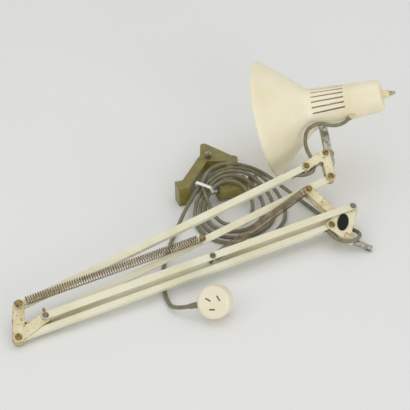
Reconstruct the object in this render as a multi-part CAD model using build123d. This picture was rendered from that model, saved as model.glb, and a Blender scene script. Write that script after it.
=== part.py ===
"""Sprung two-arm clamp lamp, lying folded beside its loose desk clamp, with its mains cord bundled.

The arms are modelled in their own plane: x along the lower arm from elbow to base, y across it,
z out of the plane. One placement then lays the whole lamp down as it rests: on the elbow, on the
spigot and on the rim of the shade. The clamp, the cord and the plug lie on the surface, z = 0.
"""
import os
from math import atan2, cos, degrees, exp, pi, radians, sin, sqrt, tan

from build123d import *

# Resting place of the elbow's corner pivot, and how the arm plane leans and rises
rest_x = -291.918
rest_y = -109.181
rest_z = 9.22
arm_lean = 24.73
arm_rise = 1.84

# Arms: equal lengths between pivots, and the elbow's two legs
arm_length = 430.0
upper_arm_angle = 7.1
elbow_top_leg = 42.3
elbow_top_angle = 68.3
elbow_side_leg = 41.5
elbow_side_angle = 18.8
upper_tube_width = 9.5
lower_tube_width = 7.5
tube_depth = 7.0
tube_wall = 0.7
tube_overhang = 3.6
strip_width = 9.5
strip_thickness = 1.4
link_thickness = 2.0

# Folded brackets: two plates with the tubes between them and the lower strips outside
plate_gap = 0.3
plate_thickness = 1.2
strip_spacing = 2.2
bracket_lobe = 7.0
head_lobe = 6.2
web_length = 13.0
hole_radius = 0.9
stop_width = 4.5
stop_height = 12.5

# Fasteners: slotted screws, nuts, rivets and bushes
pin_radius = 2.5
pin_clearance = 0.08
head_radius = 4.2
head_height = 2.2
slot_width = 1.1
slot_depth = 1.0
nut_radius = 4.0
nut_height = 3.4
screw_end = 0.6
rivet_radius = 3.9
rivet_height = 1.2
bush_radius = 4.2
end_play = 0.1

# Springs: open coils hooked on posts
upper_coil_radius = 4.8
upper_wire = 1.4
upper_turns = 58
upper_anchor = 224.0
lower_coil_radius = 5.0
lower_wire = 1.5
lower_turns = 40
lower_anchor = 206.0
spring_clearance = 0.35
lower_clearance = 1.0
bolt_sink = 0.6
hook_play = 0.4
hook_length = 9.0
hook_radius = 3.6
post_radius = 2.2
post_head_radius = 3.8
post_head_height = 2.0
biarcs_per_turn = 2

# Base bracket, neck, spigot and bare badge
post_back = 2.8
post_drop = 3.29
spine_width = 13.0
flange_drop = 5.5
flange_length = 31.0
neck_back = 10.0
neck_drop = 20.0
spigot_root_x = 17.8
spigot_root_y = -30.8
spigot_angle = -47.4
spigot_length = 24.5
spigot_radius = 4.0
spigot_collar_radius = 4.9
spigot_collar_length = 2.6
spigot_slot_width = 2.2
spigot_slot_depth = 7.0
neck_length = 14.0
neck_radius = 6.4
neck_end_radius = 5.4
tongue_length = 7.0
tongue_width = 9.0
badge_length = 26.0
badge_width = 14.4
badge_thickness = 0.9
badge_angle = 50.0
badge_x = 15.8
badge_y = -2.2

# Head bracket, stem and shade
tilt_x = 34.8
tilt_y = 9.4
stem_offset = 5.7
stem_angle = 71.3
stem_reach = 77.5
stem_width = 10.0
stem_wall = 1.2
stem_tail = 17.0
stem_tail_width = 4.2
ear_radius = 6.4
swivel_pin_radius = 2.4
swivel_washer_radius = 5.2
swivel_washer = 1.6
swivel_nut_radius = 3.4
swivel_nut = 2.4
shade_bearing = -24.91
shade_climb = 26.45
pivot_back = 11.1
rim_radius = 80.8
rim_lip = 3.0
rim_bead = 1.6
cone_length = 63.0
neck_front_radius = 28.6
neck_back_radius = 21.5
shade_length = 162.0
shade_wall = 0.9
cone_fillet = 24.0
back_fillet = 3.5
vent_count = 18
vent_pitch = 16.0
vent_back = 6.0
vent_length = 44.0
vent_width = 2.1
grommet_front = 44.0
grommet_turn = -5.0
grommet_slant = 45.0
grommet_radius = 4.2
grommet_flange = 1.6

# Lampholder, bulb and push switch
holder_radius = 16.0
holder_length = 42.0
holder_bore = 11.4
holder_depth = 16.0
holder_rib = 1.2
cap_radius = 11.0
cap_length = 21.0
globe_radius = 23.0
globe_center = 60.0
collar_radius = 5.5
collar_length = 10.0
collar_bore = 3.2
button_radius = 3.05
button_inside = 6.0
button_tip_radius = 2.2
button_shoulder = 4.0
button_reach = 8.0

# Cord and its bundle: loops that all pass through one tie
cord_diameter = 5.2
cord_fall = 143.0
tie_x = 33.5
tie_y = 43.9
tie_angle = 29.7
loop_count = 4
first_loop = 29.4
loop_step = 10.5
loop_stretch = 1.07
lead_loop = 69.1
lead_turn = 0.25
strand_spacing = 5.9
cross_start = -0.091
cross_end = 0.145
lift_start = -0.2
lift_end = 0.325
lift_height = 7.5
heap_x = 76.6
heap_y = 52.0
heap_height = 34.9
heap_along = 75.9
heap_across = 43.7
bundle_steps = 12
tie_width = 4.0
tie_thickness = 0.7
tie_clearance = 0.4

# Plug, leaning back on its lowest pin, with its earth pin towards the cord
plug_x = -70.7
plug_y = -180.4
plug_bearing = 225.6
plug_radius = 20.5
plug_thickness = 22.0
plug_waist = 1.5
plug_edge = 4.5
plug_turn = -110.0
plug_slot_length = 7.4
plug_slot_width = 2.0
plug_slot_depth = 9.0
pin_length = 17.0
pin_width = 6.3
pin_thickness = 1.6
pin_spread = 7.9
pin_rise = 3.4
pin_slant = 30.0
earth_drop = 6.85
cord_entry_turn = 20.0
sleeve_length = 12.0
sleeve_radius = 4.4

# Loose desk clamp: cast frame, socket bush, screw with pad and head
clamp_x = 74.0
clamp_y = 45.0
clamp_turn = -8.7
clamp_height = 14.0
clamp_thickness = 15.0
boss_length = 40.0
anvil_x = -66.0
anvil_y = 10.0
anvil_width = 17.0
anvil_length = 20.0
apex_left_x = -16.0
apex_left_y = 72.0
apex_tip_x = -5.0
apex_tip_y = 104.0
apex_right_x = 22.0
apex_right_y = 58.0
leg_width = 15.0
socket_radius = 4.06
socket_depth = 24.0
socket_stop = 9.0
socket_lip = 1.4
socket_middle = -9.0
screw_radius = 5.0
screw_reach = 42.0
screw_out = 28.0
thread_pitch = 2.0
thread_depth = 0.5
pad_radius = 6.0
pad_thickness = 4.0
screw_head_radius = 11.0
screw_head_length = 9.0
grip_count = 12
grip_radius = 1.6
lock_screw_radius = 2.5

# Shared small values
overrun = 1.0
seat = 0.05
edge_round = 0.6


# Placement helpers
def turned(start, length, angle):
    """Point at a distance and an angle from another, in the arm plane."""
    return start + Vector(length * cos(radians(angle)), length * sin(radians(angle)))


def rod(place, radius, low, high):
    """Round bar across the arm plane, between two heights."""
    height = high - low
    return Pos(place.X, place.Y, low) * Cylinder(radius, height, align=(Align.CENTER, Align.CENTER, Align.MIN))


def slab(face, low, high):
    """Flat piece parallel to the arm plane, between two heights."""
    return extrude(Pos(0, 0, low) * face, amount=high - low)


def strap(start, end, width):
    """Flat strip outline with round ends about two points."""
    run = end - start
    middle = (start + end) * 0.5
    angle = degrees(atan2(run.Y, run.X))
    return Pos(middle.X, middle.Y) * SlotCenterToCenter(run.length, width, rotation=angle)


def rect_between(start, end, width):
    """Flat strip outline with square ends."""
    run = end - start
    middle = (start + end) * 0.5
    return Pos(middle.X, middle.Y) * Rot(0, 0, degrees(atan2(run.Y, run.X))) * Rectangle(run.length, width)


def at_angle(angle):
    """Unit vector in the arm plane."""
    return Vector(cos(radians(angle)), sin(radians(angle)))


arm_plane = Plane(
    origin=(rest_x, rest_y, rest_z),
    x_dir=(cos(radians(arm_rise)), 0, sin(radians(arm_rise))),
    z_dir=(
        -sin(radians(arm_rise)) * cos(radians(arm_lean)),
        -sin(radians(arm_lean)),
        cos(radians(arm_rise)) * cos(radians(arm_lean)),
    ),
)

nodes = {}
cord_names = []


def keep(name, shape, on_cord=False):
    """Store a piece that is already where it lies."""
    nodes[name] = shape
    if on_cord:
        cord_names.append(name)


def lay(name, shape):
    """Store a piece of the arms, laid down with the arm plane."""
    keep(name, arm_plane.location * shape)


# Pivots and heights of the layers
elbow_corner = Vector(0, 0)
elbow_top = turned(elbow_corner, elbow_top_leg, elbow_top_angle)
elbow_side = turned(elbow_corner, elbow_side_leg, elbow_side_angle)
base_rear = Vector(arm_length, 0)
base_front = base_rear + elbow_side
head_top = turned(elbow_top, arm_length, upper_arm_angle)
head_side = turned(elbow_side, arm_length, upper_arm_angle)
tilt_pivot = head_top + Vector(tilt_x, tilt_y)
link_rise = (arm_length - post_back - elbow_side.X) * tan(radians(upper_arm_angle))
low_post = base_rear + Vector(-post_back, elbow_side.Y + link_rise - post_drop)
high_post = turned(elbow_side, upper_anchor, upper_arm_angle)
strip_bolt = base_front - Vector(lower_anchor, 0)

plate_inner = tube_depth / 2 + plate_gap
plate_outer = plate_inner + plate_thickness
strip_inner = plate_outer + strip_spacing
strip_outer = strip_inner + strip_thickness
upper_spring_height = tube_depth / 2 + upper_coil_radius + upper_wire / 2 + spring_clearance
lower_spring_height = link_thickness / 2 + lower_coil_radius + lower_wire / 2 + lower_clearance
pin_hole = pin_radius + pin_clearance


def plates(outline):
    """Front and rear plate of a folded bracket, as one pair."""
    front = slab(outline, plate_inner, plate_outer)
    return front + mirror(front, about=Plane.XY)


def pin_holes(places, radius=pin_hole, reach=strip_outer):
    """Cutters for pivots across the arm plane."""
    return [rod(place, radius, -reach - overrun, reach + overrun) for place in places]


# Arms
def tube(start, end, width):
    """Rectangular tube between two pivots, open at both ends, with its pivot holes."""
    run = (end - start).normalized()
    outline = rect_between(start - run * tube_overhang, end + run * tube_overhang, width)
    inner_end = run * (tube_overhang + overrun)
    bore = rect_between(start - inner_end, end + inner_end, width - 2 * tube_wall)
    half = tube_depth / 2
    body = slab(outline, -half, half) - slab(bore, -half + tube_wall, half - tube_wall)
    return body - pin_holes([start, end])


cord_slot = cord_diameter + 2 * edge_round
slot_back = pin_radius + 4 * cord_diameter
slot_front = pin_radius + cord_diameter
upper_run = at_angle(upper_arm_angle)
upper_side = Vector(upper_run.Y, -upper_run.X)
mouth_back = head_top - upper_run * slot_back + upper_side * (upper_tube_width / 2)
mouth_front = head_top - upper_run * slot_front + upper_side * (upper_tube_width / 2)
mouth_half = tube_depth / 2 - tube_wall
mouth_cut = slab(strap(mouth_back, mouth_front, cord_slot), -mouth_half, mouth_half)
lay("upper_tube", tube(elbow_top, head_top, upper_tube_width) - mouth_cut)

lower_mouth = base_rear + Vector(-pin_radius - cord_diameter / 2 - 2 * edge_round, -lower_tube_width / 2)
lower_cut = slab(
    rect_between(lower_mouth - Vector(cord_slot, 0), lower_mouth + Vector(cord_slot / 2, 0), 2 * tube_wall + overrun),
    -mouth_half,
    mouth_half,
)
lower_body = tube(elbow_corner, base_rear, lower_tube_width) - lower_cut
round_end = slab(strap(elbow_corner, base_rear, lower_tube_width), -tube_depth, tube_depth)
lay("lower_tube", lower_body & round_end)

link_body = slab(strap(elbow_side, head_side, strip_width), -link_thickness / 2, link_thickness / 2)
lay("upper_link", link_body - pin_holes([elbow_side, head_side]) - pin_holes([high_post], post_radius + seat))

strip_face = strap(elbow_side, base_front, strip_width)
strip_cuts = pin_holes([elbow_side, base_front]) + pin_holes([strip_bolt], post_radius + seat)
lay("lower_front_strip", slab(strip_face, strip_inner, strip_outer) - strip_cuts)
lay("lower_back_strip", slab(strip_face, -strip_outer, -strip_inner) - strip_cuts)


# Brackets
def two_legs(corner, first, second, radius):
    """Outline of a bracket with a leg to each of two pivots and a filled inner corner."""
    legs = strap(corner, first, 2 * radius) + strap(corner, second, 2 * radius)
    fill_share = 0.5
    inner_first = corner + (first - corner) * fill_share
    inner_second = corner + (second - corner) * fill_share
    return legs + make_face(Polyline(corner, inner_first, inner_second, close=True))


def web(start, end):
    """Folded wall that joins the two plates."""
    return slab(rect_between(start, end, plate_thickness), -plate_inner - seat, plate_inner + seat)


elbow_middle = (elbow_top_angle + elbow_side_angle) / 2
web_middle = turned(elbow_corner, elbow_top_leg / 2 + plate_thickness, elbow_middle)
web_side = at_angle(elbow_middle + 90) * (web_length / 2)
sight_hole = turned(elbow_corner, elbow_side_leg / 2 - web_length / 3, elbow_middle)
elbow_body = plates(two_legs(elbow_corner, elbow_top, elbow_side, bracket_lobe))
elbow_body -= pin_holes([elbow_corner, elbow_top, elbow_side]) + pin_holes([sight_hole], hole_radius)
lay("elbow_bracket", elbow_body + web(web_middle - web_side, web_middle + web_side))

stop_body = slab(Pos(elbow_side.X, elbow_side.Y) * Circle(bush_radius), plate_inner - plate_thickness, plate_inner)
stop_tip = elbow_side + Vector(stop_width / 2, stop_height)
stop_body += slab(
    make_face(
        Polyline(
            elbow_side - Vector(stop_width / 2, 0),
            elbow_side + Vector(stop_width, 0),
            stop_tip + Vector(stop_width / 4, 0),
            stop_tip - Vector(stop_width / 4, 0),
            close=True,
        )
    ),
    plate_inner - plate_thickness,
    plate_inner,
)
lay("elbow_stop", stop_body - pin_holes([elbow_side]))

neck_root = base_rear + Vector(neck_back, -neck_drop)
foot = make_face(Polyline(base_rear, base_front, neck_root, close=True))
spine_end = base_rear + (base_front - base_rear) * 0.4
base_outline = offset(foot, bracket_lobe, kind=Kind.ARC) + strap(low_post, spine_end, spine_width)
spine_run = (spine_end - low_post).normalized()
spine_left = Vector(spine_run.Y, -spine_run.X) * ((spine_width - plate_thickness) / 2)
flange_start = low_post + spine_run * flange_drop + spine_left
base_body = plates(base_outline) + web(flange_start, flange_start + spine_run * flange_length)
base_body -= pin_holes([base_rear, base_front]) + pin_holes([low_post], post_radius + seat)

head_body = plates(two_legs(tilt_pivot, head_top, head_side, head_lobe))
side_leg = (head_side - tilt_pivot).normalized()
side_left = Vector(side_leg.Y, -side_leg.X) * (head_lobe - plate_thickness / 2)
head_web_start = tilt_pivot + side_leg * (stem_tail + plate_thickness) + side_left
head_web_end = head_side - side_leg * (head_lobe + edge_round) + side_left
head_hole = tilt_pivot + (head_top + head_side - tilt_pivot * 2).normalized() * (2 * head_radius)
head_body -= pin_holes([tilt_pivot, head_top, head_side]) + pin_holes([head_hole], hole_radius)
lay("head_bracket", head_body + web(head_web_start, head_web_end))


# Fasteners
def slotted_head(place, low, radius=head_radius, height=head_height, turn=upper_arm_angle):
    """Screw head with a driver slot."""
    head = chamfer(rod(place, radius, low, low + height).edges().group_by(Axis.Z)[-1], edge_round)
    groove = Pos(place.X, place.Y, low + height - slot_depth / 2) * Rot(0, 0, turn + elbow_top_angle)
    return head - groove * Box(2 * radius + overrun, slot_width, slot_depth)


def screw(place, seat_height, turn):
    """Slotted pivot screw whose head rests at a height, through both plates and its nut."""
    shank = rod(place, pin_radius, -plate_outer - nut_height - screw_end, seat_height)
    return slotted_head(place, seat_height, turn=turn) + shank


def nut(place):
    """Hexagon nut under the rear plate."""
    body = slab(Pos(place.X, place.Y) * RegularPolygon(nut_radius, 6), -plate_outer - nut_height, -plate_outer)
    return body - pin_holes([place], pin_radius + seat, plate_outer + nut_height)


spring_seat = upper_spring_height + upper_wire / 2 + end_play
slot_turns = [0, 35, 110]
lay("elbow_screws", Compound([screw(elbow_top, spring_seat, 0), screw(elbow_corner, plate_outer, slot_turns[1])]))
lay("elbow_nuts", Compound([nut(elbow_top), nut(elbow_corner)]))
head_pivots = [head_top, head_side, tilt_pivot]
lay("head_screws", Compound([screw(p, plate_outer, t) for p, t in zip(head_pivots, slot_turns)]))
lay("head_nuts", Compound([nut(p) for p in head_pivots]))
lay("base_screw", screw(base_rear, plate_outer, slot_turns[1]))
lay("base_nut", nut(base_rear))


def rivet(place):
    """Solid rivet through both lower strips, with a low domed head at each end."""
    body = rod(place, pin_radius, -strip_outer - rivet_height, strip_outer + rivet_height)
    body += rod(place, rivet_radius, strip_outer, strip_outer + rivet_height)
    body += rod(place, rivet_radius, -strip_outer - rivet_height, -strip_outer)
    rims = body.edges().filter_by(GeomType.CIRCLE).group_by(Axis.Z)
    return fillet([rims[0].sort_by(SortBy.RADIUS)[-1], rims[-1].sort_by(SortBy.RADIUS)[-1]], edge_round)


lay("arm_rivets", Compound([rivet(elbow_side), rivet(base_front)]))


def washer(place, low, high):
    """Plain ring about a pivot."""
    return rod(place, bush_radius, low, high) - pin_holes([place])


link_half = link_thickness / 2 + seat
stop_face = plate_inner - plate_thickness - end_play
plate_face = plate_inner - end_play
lay(
    "link_bushes",
    Compound(
        [
            washer(elbow_side, link_half, stop_face),
            washer(elbow_side, -plate_face, -link_half),
            washer(head_side, link_half, plate_face),
            washer(head_side, -plate_face, -link_half),
        ]
    ),
)
spacer_low = plate_outer + end_play
spacer_high = strip_inner - seat
spacers = []
for pivot in (elbow_side, base_front):
    spacers += [washer(pivot, spacer_low, spacer_high), washer(pivot, -spacer_high, -spacer_low)]
lay("strip_spacers", Compound(spacers))


def post(place, foot_height, head_low):
    """Spring post with a domed head, fixed at its foot."""
    dome = fillet(
        rod(place, post_head_radius, head_low, head_low + post_head_height).edges().group_by(Axis.Z)[-1],
        post_head_height - edge_round,
    )
    return dome + rod(place, post_radius, foot_height, head_low)


lower_head = lower_spring_height + lower_wire / 2 + hook_play
lay("lower_spring_post", post(low_post, plate_inner, lower_head))
lay("upper_spring_post", post(high_post, -link_thickness / 2, upper_spring_height + upper_wire / 2 + end_play))
bolt_body = rod(strip_bolt, post_radius, -strip_outer, strip_outer)
bolt_body += slotted_head(strip_bolt, strip_outer, post_head_radius, post_head_height, slot_turns[2])
lay("strip_spring_bolt", bolt_body + rod(strip_bolt, post_head_radius, -strip_outer - post_head_height, -strip_outer))


# Wound wire and cord: tubes swept along pairs of tangent arcs
def biarc(start, leave, end, arrive):
    """Two tangent arcs between two points with given directions."""
    span = end - start
    square = 2 * leave.dot(arrive) - 2
    linear = -2 * span.dot(leave + arrive)
    size = span.dot(span)
    if abs(square) < 1e-9:
        reach = -size / linear
    else:
        reach = (-linear - sqrt(linear * linear - 4 * square * size)) / (2 * square)
    first = start + leave * reach
    last = end - arrive * reach
    join = (first + last) * 0.5
    return [Edge.make_tangent_arc(start, leave, join), Edge.make_tangent_arc(join, (last - first).normalized(), end)]


def sweep_round(edges, diameter):
    """Round tube along a path of edges."""
    path = Wire(edges)
    section = Plane(origin=path @ 0, z_dir=path % 0) * Circle(diameter / 2)
    return sweep(section, path=path), path


def self_gap(path, diameter, spacing):
    """Least gap of a tube to itself, measured on points along its path."""
    count = int(path.length / spacing)
    places = [path @ (i / count) for i in range(count + 1)]
    skip = int(pi * diameter / spacing) + 1
    least = path.length
    for i, place in enumerate(places):
        for other in places[i + skip :]:
            across = abs(place.X - other.X) + abs(place.Y - other.Y) + abs(place.Z - other.Z)
            if across < least + diameter + diameter:
                least = min(least, (place - other).length - diameter)
    return least


def spring(start, end, radius, wire, turns, name):
    """Open coil between two posts, with a hook round each post and straight wire ends."""
    axis = (end - start).normalized()
    side = axis.cross(Vector(0, 0, 1)).normalized()
    up = side.cross(axis)
    length = (end - start).length - 2 * hook_length
    pitch = length / turns
    slope = pitch / (2 * pi * radius)
    points, ways = [], []
    for i in range(turns * biarcs_per_turn + 1):
        angle = 2 * pi * i / biarcs_per_turn
        along = hook_length + pitch * angle / (2 * pi)
        points.append(start + axis * along + side * (radius * cos(angle)) + up * (radius * sin(angle)))
        ways.append((side * -sin(angle) + up * cos(angle) + axis * slope).normalized())
    hook_in = [start + side * hook_radius, start - axis * hook_radius, start - side * hook_radius]
    hook_in = [hook_in[2] + axis * wire, hook_in[2], hook_in[1], hook_in[0]]
    ways_in = [-axis, -axis, side, axis]
    hook_out = [end + side * hook_radius, end + axis * hook_radius, end - side * hook_radius]
    hook_out = hook_out + [hook_out[2] - axis * wire]
    ways_out = [axis, -side, -axis, -axis]
    edges = [Edge.make_line(hook_in[0], hook_in[1])]
    chain = hook_in[1:] + points + hook_out[:3]
    chain_ways = ways_in[1:] + ways + ways_out[:3]
    for i in range(len(chain) - 1):
        edges += biarc(chain[i], chain_ways[i], chain[i + 1], chain_ways[i + 1])
    edges.append(Edge.make_line(hook_out[2], hook_out[3]))
    body, path = sweep_round(edges, wire)
    turn_share = 3 / turns
    sample = Wire(edges[: int(len(edges) * turn_share) + 8])
    print(name, "turns", turns, "least gap", round(self_gap(sample, wire, wire / 2), 2))
    print(name, "volume over section times length", round(body.volume / (pi * wire * wire / 4 * path.length), 4))
    return body


upper_level = Vector(0, 0, upper_spring_height)
lay(
    "upper_spring",
    spring(elbow_top + upper_level, high_post + upper_level, upper_coil_radius, upper_wire, upper_turns, "upper spring"),
)
low_level = Vector(0, 0, lower_spring_height)
bolt_level = Vector(0, 0, -bolt_sink)
lay(
    "lower_spring",
    spring(low_post + low_level, strip_bolt + bolt_level, lower_coil_radius, lower_wire, lower_turns, "lower spring"),
)

# Base: neck, spigot, bare badge
spigot_root = base_rear + Vector(spigot_root_x, spigot_root_y)
spigot_way = at_angle(spigot_angle)
spigot_plane = Plane(origin=spigot_root, z_dir=spigot_way, x_dir=(0, 0, 1))
neck_start = spigot_root - spigot_way * neck_length
neck_plane = Plane(origin=neck_start, z_dir=spigot_way, x_dir=(0, 0, 1))
neck_body = neck_plane.location * Cone(
    neck_radius, neck_end_radius, neck_length, align=(Align.CENTER, Align.CENTER, Align.MIN)
)
tongue_start = neck_start - spigot_way * tongue_length
tongue = slab(rect_between(tongue_start, neck_start + spigot_way, tongue_width), -plate_inner, plate_inner)
socket = neck_plane.location * Pos(0, 0, -tongue_length) * Cylinder(
    spigot_radius + seat, tongue_length + neck_length + overrun, align=(Align.CENTER, Align.CENTER, Align.MIN)
)
neck_room = neck_plane.location * Cylinder(
    neck_radius + seat, neck_length + overrun, align=(Align.CENTER, Align.CENTER, Align.MIN)
)
cord_room = rod(lower_mouth, cord_diameter, -plate_inner, plate_inner)
neck_cut = pin_holes([base_rear], bush_radius + edge_round) + [cord_room, socket]
lay("base_bracket", base_body - neck_room)
lay("base_neck", neck_body + tongue - neck_cut)

spigot_back = neck_length
spigot_body = Pos(0, 0, -spigot_back) * Cylinder(
    spigot_radius, spigot_back + spigot_length, align=(Align.CENTER, Align.CENTER, Align.MIN)
)
spigot_body = chamfer(spigot_body.edges().group_by(Axis.Z)[-1], edge_round)
spigot_body += Pos(0, 0, seat) * Cylinder(
    spigot_collar_radius, spigot_collar_length, align=(Align.CENTER, Align.CENTER, Align.MIN)
)
fork = Box(spigot_slot_width, 2 * spigot_radius + overrun, spigot_slot_depth + overrun)
spigot_body -= Pos(0, 0, spigot_length - (spigot_slot_depth - overrun) / 2) * fork
lay("spigot", spigot_plane.location * spigot_body)

badge_place = base_rear + Vector(badge_x, badge_y)
badge_face = Pos(badge_place.X, badge_place.Y) * Rot(0, 0, badge_angle) * Ellipse(badge_length / 2, badge_width / 2)
lay("badge", slab(badge_face, plate_outer, plate_outer + badge_thickness))

# Stem: folded strip with an ear on the tilt screw and a tail that stops the tilt
shade_pivot = cone_length + pivot_back
vent_start = cone_length + vent_back
grommet_place = shade_length - grommet_front
stem_way = at_angle(stem_angle)
stem_right = Vector(stem_way.Y, -stem_way.X)
stem_foot = tilt_pivot + stem_right * stem_offset
shade_center = stem_foot + stem_way * stem_reach
shade_way = Vector(
    cos(radians(shade_climb)) * cos(radians(shade_bearing)),
    cos(radians(shade_climb)) * sin(radians(shade_bearing)),
    sin(radians(shade_climb)),
)
neck_taper = (neck_front_radius - neck_back_radius) / (shade_length - cone_length)
neck_here = neck_front_radius - (shade_pivot - cone_length) * neck_taper
lean_over = shade_way.dot(stem_way)
stem_gap = (neck_here + swivel_washer + swivel_washer_radius * abs(lean_over)) / sqrt(1 - lean_over**2)
stem_top = shade_center - stem_way * stem_gap
stem_half = tube_depth / 2 - stem_wall / 2
stem_outline = rect_between(stem_foot - stem_way * ear_radius, stem_top, stem_width)
stem_ear = strap(tilt_pivot, stem_foot, 2 * ear_radius)
stem_body = slab(stem_outline, -stem_half, stem_half)
stem_core = rect_between(stem_foot + stem_way * ear_radius, stem_top - stem_way * stem_wall, stem_width - 2 * stem_wall)
stem_body -= slab(stem_core, -stem_half - overrun, stem_half - stem_wall)
stem_body += slab(stem_ear, -plate_inner + end_play, plate_inner - end_play)
tail_line = stem_foot + stem_right * ((stem_width - stem_tail_width) / 2)
tail_outline = strap(tail_line, tail_line - stem_way * (stem_tail - stem_tail_width / 2), stem_tail_width)
stem_body += slab(tail_outline, -stem_half, stem_half)
stem_body -= pin_holes([tilt_pivot])
stem_top_plane = Plane(origin=stem_top, z_dir=stem_way, x_dir=(0, 0, 1))
swivel_hole = stem_top_plane.location * Cylinder(swivel_pin_radius + pin_clearance, 4 * stem_wall)
head_room = stem_top_plane.location * Pos(0, 0, -stem_wall) * Cylinder(
    swivel_nut_radius + end_play, 3 * swivel_nut, align=(Align.CENTER, Align.CENTER, Align.MAX)
)
lay("stem", stem_body - swivel_hole - head_room)

# Shade: one spun shell on its own axis, mouth at z = 0 and back at the far end
shade_origin = shade_center - shade_way * shade_pivot
stem_side = (stem_way * -1 - shade_way * shade_way.dot(stem_way * -1)).normalized()
shade_plane = Plane(origin=shade_origin, z_dir=shade_way, x_dir=stem_side)


def spun(points, rounds):
    """Solid turned about the shade's axis from a half outline, with named corners rounded."""
    face = make_face(Polyline(*[(x, 0, z) for x, z in points], close=True))
    for corner, radius in rounds:
        spot = Vector(points[corner][0], 0, points[corner][1])
        nearest = sorted(face.vertices(), key=lambda v: (Vector(*v) - spot).length)[0]
        face = face.face() if hasattr(face, "face") else face
        face = face.fillet_2d(radius, [nearest])
    return revolve(face, axis=Axis.Z)


outer_points = [
    (0, 0),
    (rim_radius, 0),
    (rim_radius, rim_lip),
    (neck_front_radius, cone_length),
    (neck_back_radius, shade_length),
    (0, shade_length),
]
inner_points = [
    (0, -overrun),
    (rim_radius - shade_wall, -overrun),
    (rim_radius - shade_wall, rim_lip),
    (neck_front_radius - shade_wall, cone_length),
    (neck_back_radius - shade_wall, shade_length - shade_wall),
    (0, shade_length - shade_wall),
]
shell = spun(outer_points, [(2, rim_lip), (3, cone_fillet), (4, back_fillet)])
skin_points = [(x + seat if x else x, z) for x, z in outer_points]
shade_skin = spun(skin_points, [(2, rim_lip), (3, cone_fillet), (4, back_fillet)])
shell -= spun(inner_points, [(2, rim_lip - shade_wall), (3, cone_fillet + shade_wall), (4, back_fillet - shade_wall)])
bead_circle = Plane.XZ * Pos(rim_radius - rim_bead / 2, rim_bead / 2) * Circle(rim_bead / 2)
shell += revolve(bead_circle, axis=Axis.Z)
vent = Box(2 * neck_front_radius, vent_width, vent_length, align=(Align.MIN, Align.CENTER, Align.MIN))
for i in range(vent_count):
    vent_turn = 180 + (i - (vent_count - 1) / 2) * vent_pitch
    shell -= Rot(0, 0, vent_turn) * Pos(neck_back_radius / 2, 0, vent_start) * vent
shell -= Pos(0, 0, shade_length) * Cylinder(collar_bore + stem_wall + seat, 2 * back_fillet)
stem_in_shade = shade_plane.location.inverse() * stem_top_plane.location
shell -= stem_in_shade * Cylinder(swivel_pin_radius + seat, 4 * holder_radius)
grommet_wall = neck_front_radius - (grommet_place - cone_length) * neck_taper
grommet_spot = Rot(0, 0, grommet_turn) * Pos(grommet_wall, 0, grommet_place)
grommet_spot *= Rot(0, 90 + grommet_slant, 0)
shell -= grommet_spot * Cylinder(cord_diameter / 2 + plate_thickness, 2 * holder_depth)


def on_shade(name, shape):
    """Store a piece modelled on the shade's axis."""
    lay(name, shade_plane.location * shape)


on_shade("shade", shell)
grommet_face = Plane(shade_plane.location * grommet_spot * Pos(0, 0, 3 * grommet_flange + end_play))
grommet_mouth = grommet_face.origin
grommet_way = grommet_face.z_dir
print("grommet", grommet_mouth, "way", grommet_way)

# Swivel: pin through the stem's top and the shade's neck, washer outside, nut inside
pin_reach = 4 * swivel_washer + stem_wall
swivel_body = Pos(0, 0, -stem_wall - swivel_nut) * Cylinder(
    swivel_pin_radius, pin_reach + swivel_nut, align=(Align.CENTER, Align.CENTER, Align.MIN)
)
swivel_body += Pos(0, 0, -stem_wall - swivel_nut) * Cylinder(
    swivel_nut_radius, swivel_nut - end_play, align=(Align.CENTER, Align.CENTER, Align.MIN)
)
lay("swivel_pin", stem_top_plane.location * swivel_body)
washer_body = stem_top_plane.location * Pos(0, 0, end_play) * Cylinder(
    swivel_washer_radius, 4 * swivel_washer, align=(Align.CENTER, Align.CENTER, Align.MIN)
)
pin_room = stem_top_plane.location * Cylinder(swivel_pin_radius + seat, 4 * holder_radius)
lay("swivel_washer", washer_body - shade_plane.location * shade_skin - pin_room)

# Cord grommet: a slanted rubber nozzle in the neck
grommet_stub = grommet_spot * Cylinder(cord_diameter / 2 + plate_thickness - seat, 6 * grommet_flange)
grommet_bore = grommet_spot * Cylinder(cord_diameter / 2 + seat, 4 * holder_depth)
grommet_cap = grommet_spot * Cylinder(grommet_radius, 6 * grommet_flange)
on_shade("cord_grommet", (grommet_cap - shade_skin) + grommet_stub - grommet_bore)

# Lampholder, bulb and push switch
holder_back = shade_length - shade_wall
holder_front = holder_back - holder_length
holder_body = Pos(0, 0, holder_front) * Cylinder(
    holder_radius, holder_length, align=(Align.CENTER, Align.CENTER, Align.MIN)
)
holder_body = fillet(holder_body.edges().group_by(Axis.Z)[0], holder_rib)
holder_body -= Pos(0, 0, holder_front - overrun) * Cylinder(
    holder_bore, holder_depth + overrun, align=(Align.CENTER, Align.CENTER, Align.MIN)
)
holder_body += Pos(0, 0, holder_back) * Cylinder(
    collar_bore + stem_wall, shade_wall, align=(Align.CENTER, Align.CENTER, Align.MIN)
)
on_shade("lampholder", holder_body)

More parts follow.
